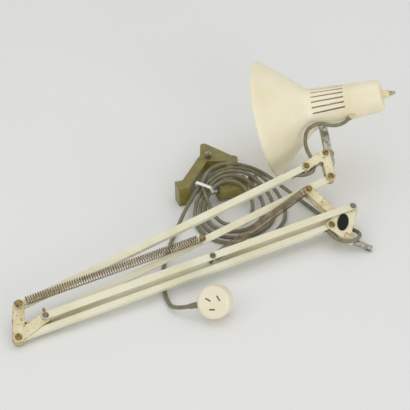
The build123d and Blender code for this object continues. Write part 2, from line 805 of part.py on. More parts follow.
cap_back = holder_front + holder_depth
cap_front = cap_back - cap_length
cap_body = Pos(0, 0, cap_front) * Cylinder(cap_radius, cap_length, align=(Align.CENTER, Align.CENTER, Align.MIN))
on_shade("bulb_cap", chamfer(cap_body.edges().group_by(Axis.Z)[-1], edge_round))
glass_neck = cap_radius - edge_round
glass_drop = sqrt(globe_radius**2 - glass_neck**2)
glass_face = make_face(
    [
        Line((0, 0, globe_center - globe_radius), (0, 0, cap_front)),
        Line((0, 0, cap_front), (glass_neck, 0, cap_front)),
        Line((glass_neck, 0, cap_front), (glass_neck, 0, globe_center + glass_drop)),
        ThreePointArc(
            (glass_neck, 0, globe_center + glass_drop),
            (globe_radius, 0, globe_center),
            (0, 0, globe_center - globe_radius),
        ),
    ]
)
on_shade("bulb_glass", revolve(glass_face, axis=Axis.Z))

collar_body = Pos(0, 0, shade_length) * Cylinder(
    collar_radius, collar_length, align=(Align.CENTER, Align.CENTER, Align.MIN)
)
collar_body = chamfer(collar_body.edges().group_by(Axis.Z)[-1], edge_round)
collar_body -= Pos(0, 0, shade_length + edge_round) * Cylinder(
    collar_bore, collar_length, align=(Align.CENTER, Align.CENTER, Align.MIN)
)
on_shade("switch_collar", collar_body)
button_start = shade_length + collar_length - button_inside
button_body = Pos(0, 0, button_start) * Cylinder(
    button_radius, button_inside + button_shoulder, align=(Align.CENTER, Align.CENTER, Align.MIN)
)
button_body += Pos(0, 0, button_start + button_inside + button_shoulder) * Cylinder(
    button_tip_radius, button_reach - button_shoulder, align=(Align.CENTER, Align.CENTER, Align.MIN)
)
on_shade("switch_button", fillet(button_body.edges().group_by(Axis.Z)[-1], edge_round))


# Cords held by the lamp: head cord in three stretches, and the short elbow cord
def cord_run(points, name, least_share=0.45):
    """Cord tube through hand-picked points, straight runs joined by the largest tangent arcs."""
    places = [Vector(*p) for p in points]
    radii = []
    for before, here, after in zip(places, places[1:], places[2:]):
        into, out = here - before, after - here
        turn = radians(into.get_angle(out))
        radii.append(least_share * min(into.length, out.length) / tan(turn / 2))
    line = FilletPolyline(*places, radius=radii) if radii else Line(*places)
    section = Plane(origin=line @ 0, z_dir=line % 0) * Circle(cord_diameter / 2)
    body = sweep(section, path=line)
    print(name, "radii", [round(r, 1) for r in radii], "length", round(line.length, 1))
    print(name, "volume share", round(body.volume / (pi * cord_diameter**2 / 4 * line.length), 4))
    return body


arm_cord_steps = [
    (-19.34, -4.95, 0.0),
    (-12.84, -7.65, 0.0),
    (-4.34, -9.85, 0.0),
    (5.26, -9.25, 0.0),
    (12.26, -3.25, 0.0),
    (14.86, 5.55, 0.0),
    (15.06, 14.55, 0.0),
]
arm_cord_route = [tuple(head_top + Vector(*step)) for step in arm_cord_steps]
bend_run = 3.6 * cord_diameter
shade_bend = grommet_mouth + grommet_way * bend_run
head_cord_end = shade_bend + at_angle(cord_fall) * bend_run
head_cord_steps = [
    (15.06, 14.75, 0.0),
    (15.26, 23.75, 0.0),
    (17.06, 33.05, 2.0),
    (21.26, 42.55, 5.0),
    (27.26, 49.55, 8.0),
    (35.26, 51.45, 10.6),
]
head_cord_route = [tuple(head_top + Vector(*step)) for step in head_cord_steps]
head_cord_route += [tuple(head_cord_end + at_angle(cord_fall) * (2 * cord_diameter)), tuple(head_cord_end)]
shade_cord_start = head_cord_end - at_angle(cord_fall) * end_play
shade_cord_route = [tuple(shade_cord_start), tuple(shade_bend), tuple(grommet_mouth)]
elbow_cord_route = [
    (13.4, 32.2, 0.0),
    (7.6, 29.6, 0.0),
    (3.4, 23.8, 0.0),
    (1.8, 14.6, 0.0),
    (2.6, 4.5, 0.0),
]
lay("arm_cord", cord_run(arm_cord_route, "arm cord"))
lay("head_cord", cord_run(head_cord_route, "head cord"))
lay("shade_cord", cord_run(shade_cord_route, "shade cord"))
lay("elbow_cord", cord_run(elbow_cord_route, "elbow cord"))


# Mains cord: lead from the base, tied bundle, tail to the plug
def step_between(low, high, value):
    """Smooth step from 0 to 1."""
    share = min(1.0, max(0.0, (value - low) / (high - low)))
    return share * share * (3 - 2 * share)


tie_point = Vector(tie_x, tie_y)
tie_way = at_angle(tie_angle)
tie_across = Vector(tie_way.Y, -tie_way.X)
cord_radius = cord_diameter / 2
edge_lane = strand_spacing * (loop_count + 1) / 2


def bundle_point(turn):
    """Middle of the cord after a number of turns: below 0 the lead, then nested loops through the tie."""
    loop = min(loop_count - 1, max(0, int(turn)))
    size = lead_loop if turn < 0 else first_loop + loop_step * loop
    angle = -2 * pi * turn
    lane = -edge_lane + (2 * edge_lane - strand_spacing * max(0.0, turn)) * step_between(cross_start, cross_end, turn)
    place = tie_point + tie_across * (size * (1 - cos(angle)) + lane) + tie_way * (size * loop_stretch * sin(angle))
    lift = step_between(lift_start, cross_start, turn) * (1 - step_between(cross_end, lift_end, turn))
    away = place - Vector(heap_x, heap_y)
    along = away.dot(at_angle(clamp_turn)) / heap_along
    across = away.dot(at_angle(clamp_turn + 90)) / heap_across
    height = cord_radius + heap_height * exp(-along * along - across * across) + lift * lift_height
    return Vector(place.X, place.Y, height)


nudge = 1e-3
bundle_total = int((loop_count + lead_turn) * bundle_steps)
bundle_turns = [-lead_turn + i * (loop_count + lead_turn) / bundle_total for i in range(bundle_total + 1)]
bundle_places = [bundle_point(turn) for turn in bundle_turns]
bundle_ways = [(bundle_point(turn + nudge) - bundle_point(turn - nudge)).normalized() for turn in bundle_turns]
bundle_edges = []
for i in range(bundle_total):
    bundle_edges += biarc(bundle_places[i], bundle_ways[i], bundle_places[i + 1], bundle_ways[i + 1])
bundle_body, bundle_path = sweep_round(bundle_edges, cord_diameter)
print("cord bundle least gap", round(self_gap(bundle_path, cord_diameter, cord_diameter / 2), 2))
print("cord bundle length", round(bundle_path.length, 1), "lowest", round(bundle_body.bounding_box().min.Z, 2))
keep("cord_bundle", bundle_body, on_cord=True)
bundle_start = bundle_places[0]
bundle_end = bundle_places[-1]

# Tie: a flat band round the strands, square to them
tie_middle = bundle_point(loop_count / 2)
tie_way_up = (bundle_point(loop_count / 2 + nudge) - bundle_point(loop_count / 2 - nudge)).normalized()
tie_plane = Plane(origin=tie_middle, z_dir=tie_way_up, x_dir=tie_across)
sample_count = int(bundle_path.length)
near_tie = []
for i in range(sample_count + 1):
    spot = tie_plane.to_local_coords(bundle_path @ (i / sample_count))
    if abs(spot.Z) < tie_width and spot.length < 4 * cord_diameter:
        near_tie.append(spot)
band_low = Vector(min(p.X for p in near_tie), min(p.Y for p in near_tie))
band_high = Vector(max(p.X for p in near_tie), max(p.Y for p in near_tie))
band_middle = (band_low + band_high) * 0.5
band_room = cord_diameter + 2 * tie_clearance
band_x = band_high.X - band_low.X + band_room
band_y = band_high.Y - band_low.Y + band_room
band_outer = RectangleRounded(band_x + 2 * tie_thickness, band_y + 2 * tie_thickness, cord_radius + tie_thickness)
band_face = band_outer - RectangleRounded(band_x, band_y, cord_radius)
band = Pos(band_middle.X, band_middle.Y, -tie_width / 2) * extrude(band_face, amount=tie_width)
keep("cord_tie", tie_plane.location * band, on_cord=True)

# Plug: round, with three blades behind and three slots in its face, on its back rim and lowest blade
blade_places = [
    Rot(0, 0, plug_turn) * Pos(-pin_spread, pin_rise) * Rot(0, 0, -pin_slant),
    Rot(0, 0, plug_turn) * Pos(pin_spread, pin_rise) * Rot(0, 0, pin_slant),
    Rot(0, 0, plug_turn) * Pos(0, -earth_drop),
]
pin_corner = Vector(pin_thickness / 2, pin_width / 2)
pin_corners = [Pos(x, y) for x in (-pin_corner.X, pin_corner.X) for y in (-pin_corner.Y, pin_corner.Y)]
lowest_pin = min((place * corner).position.Y for place in blade_places for corner in pin_corners)
plug_tilt = atan2(plug_radius + lowest_pin, pin_length)
plug_z = plug_thickness * sin(plug_tilt) + plug_radius * cos(plug_tilt)
plug_way = Vector(
    cos(plug_tilt) * cos(radians(plug_bearing)), cos(plug_tilt) * sin(radians(plug_bearing)), sin(plug_tilt)
)
plug_right = Vector(-plug_way.Y, plug_way.X, 0).normalized()
plug_plane = Plane(origin=(plug_x, plug_y, plug_z), x_dir=plug_right, z_dir=plug_way)
plug_body = Cylinder(plug_radius, plug_thickness, align=(Align.CENTER, Align.CENTER, Align.MAX))
plug_body = fillet(plug_body.edges().group_by(Axis.Z)[-1], plug_edge)
groove = Pos(0, 0, -plug_thickness / 2) * (
    Cylinder(plug_radius + overrun, plug_waist) - Cylinder(plug_radius - edge_round, plug_waist)
)
plug_body -= groove
blades = []
for place in blade_places:
    plug_body -= place * Pos(0, 0, overrun) * Box(
        plug_slot_width, plug_slot_length, plug_slot_depth, align=(Align.CENTER, Align.CENTER, Align.MAX)
    )
    root = pin_length / 4
    blade = place * Pos(0, 0, root - plug_thickness) * Box(
        pin_thickness, pin_width, pin_length + root, align=(Align.CENTER, Align.CENTER, Align.MAX)
    )
    plug_body -= place * Pos(0, 0, root - plug_thickness) * Box(
        pin_thickness + 2 * seat, pin_width + 2 * seat, 2 * pin_length, align=(Align.CENTER, Align.CENTER, Align.MAX)
    )
    blades.append(blade)
entry_angle = radians(180 + cord_entry_turn)
entry_way = Vector(cos(entry_angle), sin(entry_angle))
entry_plane = Plane(origin=Vector(0, 0, -plug_thickness / 2), z_dir=entry_way, x_dir=(0, 0, 1))
sleeve_root = plug_radius - sleeve_radius
sleeve_end_radius = cord_radius + edge_round
plug_body -= entry_plane.location * Pos(0, 0, sleeve_root) * Cylinder(
    sleeve_radius + seat, plug_radius, align=(Align.CENTER, Align.CENTER, Align.MIN)
)
sleeve = entry_plane.location * Pos(0, 0, sleeve_root) * Cone(
    sleeve_radius, sleeve_end_radius, sleeve_length + sleeve_radius, align=(Align.CENTER, Align.CENTER, Align.MIN)
)
keep("plug_body", plug_plane.location * plug_body, on_cord=True)
keep("plug_blades", plug_plane.location * Compound(blades), on_cord=True)
keep("plug_sleeve", plug_plane.location * sleeve, on_cord=True)

# Lead and tail of the mains cord
sleeve_tip = entry_plane.origin + entry_way * (plug_radius + sleeve_length + end_play)
tail_end = plug_plane.from_local_coords(sleeve_tip)
tail_way = plug_plane.from_local_coords(sleeve_tip + entry_way) - tail_end
end_run = 4 * cord_diameter
lead_on_base = [
    (423.7, -4.05, 0.0),
    (424.6, -13.0, 1.2),
    (427.0, -22.5, 5.0),
    (432.4, -30.5, 8.6),
    (441.0, -34.0, 10.2),
    (450.5, -32.4, 8.2),
    (458.6, -27.0, 3.6),
    (462.0, -19.3, -2.6),
    (459.6, -10.6, -8.4),
    (454.2, -1.5, -11.6),
]
lead_on_floor = [
    (160.0, -84.0, 7.2),
    (156.0, -62.0, 3.6),
    (153.0, -38.0, 2.8),
    (147.0, -13.0, 5.4),
]
tail_on_floor = [
    (-9.0, 24.0, 11.5),
    (-27.0, 6.0, 6.0),
    (-46.0, -14.0, 3.2),
    (-62.5, -35.0, 2.8),
    (-76.5, -55.0, 2.8),
    (-88.0, -76.0, 2.8),
    (-97.0, -98.0, 2.8),
    (-103.5, -121.0, 2.9),
]
lead_route = [tuple(arm_plane.from_local_coords(Vector(*p))) for p in lead_on_base] + lead_on_floor
lead_route += [tuple(bundle_start - bundle_ways[0] * end_run), tuple(bundle_start - bundle_ways[0] * end_play)]
tail_route = [tuple(bundle_end + bundle_ways[-1] * end_play), tuple(bundle_end + bundle_ways[-1] * end_run)]
tail_route += tail_on_floor + [tuple(tail_end + tail_way * end_run), tuple(tail_end)]
keep("mains_lead", cord_run(lead_route, "mains lead"), on_cord=True)
keep("cord_tail", cord_run(tail_route, "cord tail"), on_cord=True)
for title, route in (("lead", lead_route), ("tail", tail_route)):
    print(title, [tuple(round(c, 1) for c in p) for p in route])

# Loose clamp, lying on its side: cast frame with screw boss, anvil and spigot socket
clamp_place = Pos(clamp_x, clamp_y, clamp_height) * Rot(0, 0, clamp_turn)
lying = Rot(0, 90, 0)
anvil = Vector(anvil_x, anvil_y)
apex_left = Vector(apex_left_x, apex_left_y)
apex_tip = Vector(apex_tip_x, apex_tip_y)
apex_right = Vector(apex_right_x, apex_right_y)
boss_middle = Vector(0, 0)
crown = make_face(Polyline(apex_left, apex_right, apex_tip, close=True))
frame_face = offset(crown, leg_width / 3, kind=Kind.ARC)
frame_face += strap(anvil, apex_left, leg_width) + strap(boss_middle, apex_right, leg_width)
frame_face += strap(apex_left, apex_right, leg_width) + strap(apex_left, apex_tip, leg_width / 2)
frame_body = slab(frame_face, -clamp_thickness / 2, clamp_thickness / 2)
frame_body += lying * Cylinder(clamp_height, boss_length)
anvil_body = Pos(anvil.X, anvil.Y, 0) * Box(anvil_width, anvil_length, 2 * clamp_height)
frame_body += fillet(anvil_body.edges().filter_by(Axis.Z), 2 * edge_round)
socket_y = apex_left_y
socket_place = Pos(socket_middle, socket_y, 0) * lying
frame_body += socket_place * Cylinder(2 * socket_radius, socket_depth + 2 * socket_lip)
frame_body -= socket_place * Pos(0, 0, socket_stop) * Cylinder(
    socket_radius, socket_depth + socket_stop, align=(Align.CENTER, Align.CENTER, Align.MAX)
)
frame_body -= lying * Cylinder(screw_radius + pin_clearance, 2 * boss_length)
lock_place = Pos(socket_middle, socket_y, 0)
frame_body -= lock_place * Cylinder(
    lock_screw_radius + seat, 4 * socket_radius, align=(Align.CENTER, Align.CENTER, Align.MIN)
)
keep("clamp_frame", clamp_place * frame_body)
lock_low = socket_radius + end_play
lock_top = 2 * socket_radius + edge_round
lock_body = rod(boss_middle, lock_screw_radius, lock_low, lock_top + lock_screw_radius)
lock_body += slab(RegularPolygon(2 * lock_screw_radius, 6), lock_top, lock_top + 2 * lock_screw_radius)
lock_body += rod(boss_middle, lock_screw_radius, lock_top, lock_top + 3 * lock_screw_radius)
keep("clamp_lock_screw", clamp_place * lock_place * lock_body)

# Clamp screw with its pad and fluted head, all along the boss
screw_length = screw_reach + screw_out
screw_middle = (screw_out - screw_reach) / 2
screw_body = Pos(screw_middle, 0, 0) * lying * Cylinder(screw_radius, screw_length)
ring_count = int(screw_reach / thread_pitch / 2)
for i in range(ring_count):
    ring = Cylinder(screw_radius + overrun, thread_pitch / 2) - Cylinder(screw_radius - thread_depth, thread_pitch / 2)
    screw_body -= Pos(-screw_reach + thread_pitch * (i + 1), 0, 0) * lying * ring
screw_body += Pos(-screw_reach - pad_thickness / 2, 0, 0) * lying * Cylinder(screw_radius / 2, pad_thickness)
keep("clamp_screw", clamp_place * screw_body)
pad_place = Pos(-screw_reach - pad_thickness / 2, 0, 0) * lying
pad_body = pad_place * Cylinder(pad_radius, pad_thickness - end_play)
pad_bore = pad_place * Cylinder(screw_radius / 2 + pin_clearance, pad_thickness)
keep("clamp_pad", clamp_place * (pad_body - pad_bore))
grip_place = Pos(screw_out + screw_head_length / 2 + seat, 0, 0) * lying
grip_body = Cylinder(screw_head_radius, screw_head_length)
grip_body = fillet(grip_body.edges().filter_by(GeomType.CIRCLE), 2 * edge_round)
for i in range(grip_count):
    flute = Pos(screw_head_radius + grip_radius / 2, 0, 0) * Cylinder(grip_radius, screw_head_length + overrun)
    grip_body -= Rot(0, 0, i * 360 / grip_count) * flute
keep("clamp_knob", clamp_place * grip_place * grip_body)

# Overall size, with the cord left out of it, and the pieces as files
whole = Compound([shape for name, shape in nodes.items() if name not in cord_names]).bounding_box()
print("whole", whole.min, whole.max, "middle", whole.center())
os.makedirs("parts", exist_ok=True)
for name, shape in nodes.items():
    export_step(shape, f"parts/{name}.step")
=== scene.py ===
import math

import bpy
from mathutils import Matrix, Vector


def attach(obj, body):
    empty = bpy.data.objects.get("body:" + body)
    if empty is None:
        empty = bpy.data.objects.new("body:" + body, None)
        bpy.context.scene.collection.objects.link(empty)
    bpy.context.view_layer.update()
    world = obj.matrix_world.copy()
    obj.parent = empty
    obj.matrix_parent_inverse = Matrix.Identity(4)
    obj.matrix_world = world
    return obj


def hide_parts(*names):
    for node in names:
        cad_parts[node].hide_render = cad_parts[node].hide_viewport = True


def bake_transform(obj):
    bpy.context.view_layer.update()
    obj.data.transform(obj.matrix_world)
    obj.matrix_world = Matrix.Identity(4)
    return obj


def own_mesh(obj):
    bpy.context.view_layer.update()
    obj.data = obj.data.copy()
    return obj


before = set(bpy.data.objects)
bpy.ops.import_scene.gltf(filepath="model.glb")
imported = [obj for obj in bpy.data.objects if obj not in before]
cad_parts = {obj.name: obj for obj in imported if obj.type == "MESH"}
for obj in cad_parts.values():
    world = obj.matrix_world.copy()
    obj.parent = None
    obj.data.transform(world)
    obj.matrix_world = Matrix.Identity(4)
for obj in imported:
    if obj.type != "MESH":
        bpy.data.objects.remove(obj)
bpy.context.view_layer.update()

# Studio: a pale painted table top that runs on behind the lamp, in an even, bright room. Soft
# boxes stand above, to the left and, further off, in front. The camera looks down on the lamp.
scene = bpy.context.scene
scene.view_settings.view_transform = "Standard"


def srgb(code):
    """Linear colour of an sRGB hex value."""
    parts = [int(code[i : i + 2], 16) / 255 for i in (1, 3, 5)]
    return [c / 12.92 if c <= 0.04045 else ((c + 0.055) / 1.055) ** 2.4 for c in parts] + [1.0]


def add(tree, kind, settings=None, **links):
    """Adds a node with its settings and links; a setting that is a socket is linked."""
    made = tree.nodes.new(kind)
    for key, value in (settings or {}).items():
        if isinstance(value, bpy.types.NodeSocket):
            tree.links.new(value, made.inputs[key])
        elif isinstance(key, int) or key in made.inputs:
            made.inputs[key].default_value = value
        else:
            setattr(made, key, value)
    for key, source in links.items():
        tree.links.new(source, made.inputs[key.replace("_", " ")])
    return made


def blank(name):
    """New material with an empty tree; returns the material and its tree."""
    material = bpy.data.materials.new(name)
    material.use_nodes = True
    material.node_tree.nodes.clear()
    return material, material.node_tree


photo_pixels = 410
focal_pixels = 1300
sensor_mm = 36.0
camera_place = (-0.60726, -1.25955, 1.00863)
camera_right = Vector((0.890382, -0.45466, -0.022435))
camera_down = Vector((-0.27603, -0.500059, -0.820822))
camera_ahead = Vector((0.361976, 0.737038, -0.570744))
camera_data = bpy.data.cameras.new("camera")
camera_data.sensor_width = sensor_mm
camera_data.lens = sensor_mm * focal_pixels / photo_pixels
camera_data.clip_end = 20.0
camera = bpy.data.objects.new("camera", camera_data)
camera_turn = Matrix((camera_right, -camera_down, -camera_ahead)).transposed()
camera.matrix_world = Matrix.Translation(camera_place) @ camera_turn.to_4x4()
scene.collection.objects.link(camera)
scene.camera = camera


def soft_box(name, place, aim, size, power):
    """Square area lamp that faces a point."""
    lamp = bpy.data.lights.new(name, "AREA")
    lamp.size = size
    lamp.energy = power
    holder = bpy.data.objects.new(name, lamp)
    holder.location = place
    holder.rotation_euler = (Vector(aim) - Vector(place)).to_track_quat("-Z", "Y").to_euler()
    scene.collection.objects.link(holder)


soft_box("top_light", (0.15, 0.25, 1.7), aim=(0.05, 0.0, 0.0), size=1.6, power=4)
soft_box("left_light", (-1.5, -0.5, 1.2), aim=(0.0, 0.0, 0.05), size=1.2, power=3)
soft_box("front_light", (-0.2, -3.5, 1.0), aim=(0.1, 0.0, 0.05), size=1.6, power=32)
room = bpy.data.worlds.new("room")
scene.world = room
room.use_nodes = True
room_light = room.node_tree.nodes["Background"].inputs
room_light["Color"].default_value = srgb("#F6F5F2")
room_light["Strength"].default_value = 0.76

# Painted board, matt: no pattern of its own, only a faint unevenness of its paint.
mottle_mm = 250
table_side = 12.0
colour_a, colour_b, mixed = 6, 7, 2  # a colour Mix node's two colours, and its result
table_paint, tree = blank("table_paint")
where = add(tree, "ShaderNodeTexCoord").outputs["Object"]
mottle = add(tree, "ShaderNodeTexNoise", {"Scale": 1000 / mottle_mm, "Detail": 3.0}, Vector=where)
tint = add(
    tree,
    "ShaderNodeMix",
    {"data_type": "RGBA", colour_a: srgb("#E8E9E9"), colour_b: srgb("#ECEDED")},
    Factor=mottle.outputs["Fac"],
)
board = add(tree, "ShaderNodeBsdfPrincipled", {"Roughness": 0.7}, Base_Color=tint.outputs[mixed])
add(tree, "ShaderNodeOutputMaterial", Surface=board.outputs[0])
bpy.ops.mesh.primitive_plane_add(size=table_side)
table_top = bpy.context.object
table_top.name = "table_top"
table_top.data.materials.append(table_paint)


# Arms: closed steel tubes and flat steel strips, sprayed with a greenish white stove enamel.
# The enamel has yellowed in patches and is chipped to brown steel in small flecks.
def enamel(name, fresh, aged, bare, patch_mm, chip_mm, chip_level, gloss, edge_mm):
    """Sprayed enamel: aged patches, and chips and worn edges down to the bare metal.

    Its orange peel is finer than 1 mm, and is drawn coarser so that it shows.
    """
    peel_mm = 2.5
    edge_wear = 0.2
    chip_blur = 0.03
    chip_depth = 2.0
    bare_roughness = 0.75
    material, tree = blank(name)
    where = add(tree, "ShaderNodeTexCoord").outputs["Object"]
    patches = add(
        tree,
        "ShaderNodeTexNoise",
        {"Scale": 1000 / patch_mm, "Detail": 4.0, "Roughness": 0.6},
        Vector=where,
    )
    spread = add(
        tree,
        "ShaderNodeMapRange",
        {"From Min": 0.42, "From Max": 0.68},
        Value=patches.outputs["Fac"],
    )
    tone = add(
        tree,
        "ShaderNodeMix",
        {"data_type": "RGBA", colour_a: srgb(fresh), colour_b: srgb(aged)},
        Factor=spread.outputs[0],
    )
    flecks = add(
        tree,
        "ShaderNodeTexNoise",
        {"Scale": 1000 / chip_mm, "Detail": 5.0, "Roughness": 0.7},
        Vector=where,
    )
    rounded = add(tree, "ShaderNodeBevel", {"samples": 6, "Radius": edge_mm / 1000})
    facing = add(tree, "ShaderNodeNewGeometry").outputs["Normal"]
    flatness = add(
        tree,
        "ShaderNodeVectorMath",
        {"operation": "DOT_PRODUCT", 0: rounded.outputs[0], 1: facing},
    )
    edges = add(
        tree,
        "ShaderNodeMapRange",
        {"From Min": 0.98, "From Max": 0.8, "To Max": edge_wear},
        Value=flatness.outputs["Value"],
    )
    exposed = add(
        tree,
        "ShaderNodeMath",
        {"operation": "ADD", 0: flecks.outputs["Fac"], 1: edges.outputs[0]},
    )
    chips = add(
        tree,
        "ShaderNodeMapRange",
        {"From Min": chip_level, "From Max": chip_level + chip_blur},
        Value=exposed.outputs[0],
    )
    colour = add(
        tree,
        "ShaderNodeMix",
        {"data_type": "RGBA", colour_a: tone.outputs[mixed], colour_b: srgb(bare)},
        Factor=chips.outputs[0],
    )
    rough = add(
        tree,
        "ShaderNodeMapRange",
        {"To Min": gloss, "To Max": bare_roughness},
        Value=chips.outputs[0],
    )
    peel = add(tree, "ShaderNodeTexNoise", {"Scale": 1000 / peel_mm, "Detail": 2.0}, Vector=where)
    height = add(
        tree,
        "ShaderNodeMath",
        {
            "operation": "MULTIPLY_ADD",
            0: chips.outputs[0],
            1: -chip_depth,
            2: peel.outputs["Fac"],
        },
    )
    skin = add(
        tree,
        "ShaderNodeBump",
        {"Strength": 0.12, "Distance": 0.0004},
        Height=height.outputs[0],
    )
    paint = add(
        tree,
        "ShaderNodeBsdfPrincipled",
        {"IOR": 1.5, "Coat Weight": 0.15, "Coat Roughness": 0.2},
        Base_Color=colour.outputs[mixed],
        Roughness=rough.outputs[0],
        Normal=skin.outputs[0],
    )
    add(tree, "ShaderNodeOutputMaterial", Surface=paint.outputs[0])
    return material


def finish_nodes(material, *names):
    """Gives CAD nodes a material."""
    for name in names:
        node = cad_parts[name]
        node.data.materials.clear()
        node.data.materials.append(material)


bar_enamel = enamel(
    "bar_enamel",
    fresh="#E3E0C8",
    aged="#D6D0AF",
    bare="#6B5134",
    patch_mm=60,
    chip_mm=7,
    chip_level=0.73,
    gloss=0.38,
    edge_mm=0.3,
)
finish_nodes(bar_enamel, "upper_tube", "lower_tube", "upper_link")
finish_nodes(bar_enamel, "lower_front_strip", "lower_back_strip")

# Folded brackets: pressed from steel sheet and sprayed with the same enamel. They are handled
# most, so the paint is yellower and worn through to rust along folds, edges and screws.
bracket_enamel = enamel(
    "bracket_enamel",
    fresh="#E0D9BA",
    aged="#C8B884",
    bare="#96581F",
    patch_mm=18,
    chip_mm=5,
    chip_level=0.63,
    gloss=0.42,
    edge_mm=2.2,
)
finish_nodes(bracket_enamel, "elbow_bracket", "base_bracket", "head_bracket", "base_neck")


# Screws, posts, nuts, stem and spigot: slotted screws and posts of turned brass, a stem of folded
# and plated sheet, rivets and spacers of plain steel, and nuts and a spigot of nickelled steel.
def bare_metal(name, bright, dull, patch_mm, smooth, rough):
    """Plain or plated metal, tarnished and duller in patches, with fine tool marks.

    The marks are about 0.1 mm apart, and are drawn coarser so that they show.
    """
    mark_mm = 0.8
    material, tree = blank(name)
    where = add(tree, "ShaderNodeTexCoord").outputs["Object"]
    tarnish = add(
        tree,
        "ShaderNodeTexNoise",
        {"Scale": 1000 / patch_mm, "Detail": 5.0, "Roughness": 0.65},
        Vector=where,
    )
    spread = add(
        tree,
        "ShaderNodeMapRange",
        {"From Min": 0.4, "From Max": 0.66},
        Value=tarnish.outputs["Fac"],
    )
    tone = add(
        tree,
        "ShaderNodeMix",
        {"data_type": "RGBA", colour_a: srgb(bright), colour_b: srgb(dull)},
        Factor=spread.outputs[0],
    )
    worn = add(
        tree,
        "ShaderNodeMapRange",
        {"To Min": smooth, "To Max": rough},
        Value=tarnish.outputs["Fac"],
    )
    marks = add(tree, "ShaderNodeTexNoise", {"Scale": 1000 / mark_mm, "Detail": 2.0}, Vector=where)
    skin = add(
        tree,
        "ShaderNodeBump",
        {"Strength": 0.15, "Distance": 0.0002},
        Height=marks.outputs["Fac"],
    )
    metal = add(
        tree,
        "ShaderNodeBsdfPrincipled",
        {"Metallic": 1.0},
        Base_Color=tone.outputs[mixed],
        Roughness=worn.outputs[0],
        Normal=skin.outputs[0],
    )
    add(tree, "ShaderNodeOutputMaterial", Surface=metal.outputs[0])
    return material


# Nickel plate on turned steel: a bright warm grey, brown-grey where it has tarnished.
nickel_plate = bare_metal(
    "nickel_plate", bright="#C4C1B7", dull="#8A8272", patch_mm=4, smooth=0.2, rough=0.5
)
finish_nodes(nickel_plate, "spigot", "base_nut", "elbow_nuts", "head_nuts", "swivel_pin")
finish_nodes(nickel_plate, "clamp_screw", "clamp_knob", "clamp_lock_screw")
# Plain steel, headed and turned: a dark, dull grey.
rivet_steel = bare_metal(
    "rivet_steel", bright="#8E9084", dull="#5F5C4C", patch_mm=5, smooth=0.35, rough=0.6
)
finish_nodes(rivet_steel, "arm_rivets", "link_bushes", "strip_spacers")
finish_nodes(rivet_steel, "swivel_washer", "strip_spring_bolt")
# Zinc plate on folded sheet: pale and greenish, with a darker bloom.
zinc_plate = bare_metal(
    "zinc_plate", bright="#C3C6B4", dull="#7C806C", patch_mm=7, smooth=0.3, rough=0.5
)
finish_nodes(zinc_plate, "stem")
# Turned brass without lacquer: gone olive, and brown where it is not touched.
screw_brass = bare_metal(
    "screw_brass", bright="#A5915C", dull="#64553A", patch_mm=3, smooth=0.3, rough=0.55
)
finish_nodes(screw_brass, "head_screws", "elbow_screws", "base_screw", "bulb_cap")
finish_nodes(screw_brass, "lower_spring_post", "upper_spring_post")
# Nickelled brass of the switch, rubbed by fingers: pale and warm.
button_metal = bare_metal(
    "button_metal", bright="#C6C0A4", dull="#938C70", patch_mm=3, smooth=0.3, rough=0.55
)
finish_nodes(button_metal, "switch_button")
# Sheet steel that has lost its paint: matt orange rust with darker pits.
rusty_steel = enamel(
    "rusty_steel",
    fresh="#A56A2C",
    aged="#BE8236",
    bare="#5E3819",
    patch_mm=4,
    chip_mm=2,
    chip_level=0.6,
    gloss=0.8,
    edge_mm=0.4,
)
finish_nodes(rusty_steel, "elbow_stop")

# Badge: a thin oval plate, left bare and fixed flat on the base bracket. Its black gloss enamel
# shows only the faint haze of old polish.
haze_mm = 5
badge_black, tree = blank("badge_black")
where = add(tree, "ShaderNodeTexCoord").outputs["Object"]
haze = add(tree, "ShaderNodeTexNoise", {"Scale": 1000 / haze_mm, "Detail": 4.0}, Vector=where)
dull = add(
    tree, "ShaderNodeMapRange", {"To Min": 0.12, "To Max": 0.3}, Value=haze.outputs["Fac"]
)
tint = add(
    tree,
    "ShaderNodeMix",
    {"data_type": "RGBA", colour_a: srgb("#090909"), colour_b: srgb("#151413")},
    Factor=haze.outputs["Fac"],
)
gloss_black = add(
    tree,
    "ShaderNodeBsdfPrincipled",
    {"IOR": 1.33},
    Base_Color=tint.outputs[mixed],
    Roughness=dull.outputs[0],
)
add(tree, "ShaderNodeOutputMaterial", Surface=gloss_black.outputs[0])
finish_nodes(badge_black, "badge")

# Springs: long springs of drawn steel wire, grey-brown with age, wound a little open, with a hook
# at each end. Each hooks on a post at one end and on the arm at the other, and shortens as the
# arm opens.
spring_wire = bare_metal(
    "spring_wire", bright="#B9A98B", dull="#6F6149", patch_mm=9, smooth=0.15, rough=0.32
)

# The arms, brackets and springs lie in one leaning plane, with its own along, across and out
# directions. Places on it are counted from the elbow's corner pivot.
plane_origin = Vector((-0.291918, -0.109181, 0.00922))
lean = math.radians(24.73)
rise = math.radians(1.84)
plane_along = Vector((math.cos(rise), 0, math.sin(rise)))
plane_out = Vector(
    (-math.sin(rise) * math.cos(lean), -math.sin(lean), math.cos(rise) * math.cos(lean))
)
plane_across = plane_out.cross(plane_along)


def on_arms(place_mm):
    """Point in metres for a place on the arm plane in millimetres."""
    u, v, w = (c / 1000 for c in place_mm)
    return plane_origin + plane_along * u + plane_across * v + plane_out * w


def tube_curve(name, points, radius, material):
    """Curve with one open spline and a round section."""
    data = bpy.data.curves.new(name, "CURVE")
    data.dimensions = "3D"
    data.bevel_depth = radius
    data.bevel_resolution = 3
    data.use_fill_caps = True
    spline = data.splines.new("NURBS")
    spline.points.add(len(points) - 1)
    for spot, place in zip(spline.points, points):
        spot.co = (*place, 1.0)
    spline.order_u = 3
    spline.use_endpoint_u = True
    spline.resolution_u = 6
    piece = bpy.data.objects.new(name, data)
    scene.collection.objects.link(piece)
    data.materials.append(material)
    return piece


